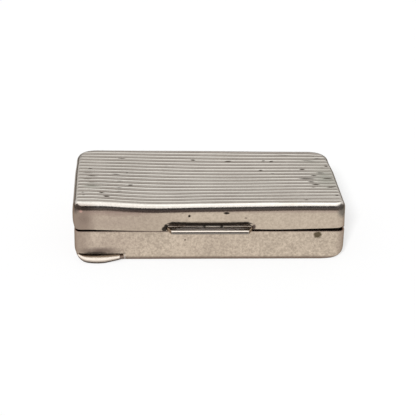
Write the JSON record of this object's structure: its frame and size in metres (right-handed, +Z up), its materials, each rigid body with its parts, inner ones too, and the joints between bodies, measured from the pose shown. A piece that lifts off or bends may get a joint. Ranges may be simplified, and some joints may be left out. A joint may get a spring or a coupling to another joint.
{
  "type": "hinged pocket box",
  "caption": "Small rectangular silver pocket box with rounded corners, a reeded hinged lid, a bar thumbpiece and a small hatch with a crescent lip in its underside.",
  "frame": {"origin": "middle of the underside, on the surface that the box stands on", "axes": "+X to the box's right as seen from its front, +Y to its hinged back, +Z up"},
  "size_m": [0.08, 0.046, 0.018],
  "materials": {
    "polished_silver": "polished sterling silver, worn to a soft shine with fine scratches",
    "reeded_silver": "reeded sterling silver, ribs rubbed bright and grooves toned",
    "bright_silver": "sterling silver kept bright by handling",
    "inner_silver": "satin sterling silver with light toning",
    "hinge_silver": "drawn silver tube and wire, lightly toned"
  },
  "bodies": {
    "base": {"base_shell": "polished_silver", "base_rim": "inner_silver", "base_hinge_bearer": "inner_silver", "base_knuckle_1": "hinge_silver", "base_knuckle_2": "hinge_silver", "base_knuckle_3": "hinge_silver", "base_knuckle_4": "hinge_silver", "hinge_pin": "hinge_silver", "hinge_plug_left": "hinge_silver", "hinge_plug_right": "hinge_silver", "compartment_partition": "inner_silver", "compartment_roof": "inner_silver", "hatch_stop_side": "inner_silver", "hatch_stop_front": "inner_silver", "hatch_base_knuckle_left": "hinge_silver", "hatch_base_knuckle_right": "hinge_silver", "hatch_hinge_pin": "hinge_silver"},
    "lid": {"lid_shell": "reeded_silver", "thumbpiece": "bright_silver", "lid_hinge_bearer": "inner_silver", "lid_knuckle_1": "hinge_silver", "lid_knuckle_2": "hinge_silver", "lid_knuckle_3": "hinge_silver"},
    "hatch": {"hatch_plate": "polished_silver", "hatch_lip": "bright_silver", "hatch_knuckle": "hinge_silver"}
  },
  "joints": [
    {"name": "lid_hinge", "type": "hinge", "parent": "base", "child": "lid", "pos_m": [0, 0.02015, 0.00955], "axis": [-1, 0, 0], "range_deg": [0, 100]},
    {"name": "hatch_hinge", "type": "hinge", "parent": "base", "child": "hatch", "pos_m": [-0.03025, 0.0155, 0.001], "axis": [1, 0, 0], "range_deg": [0, 95]}
  ]
}
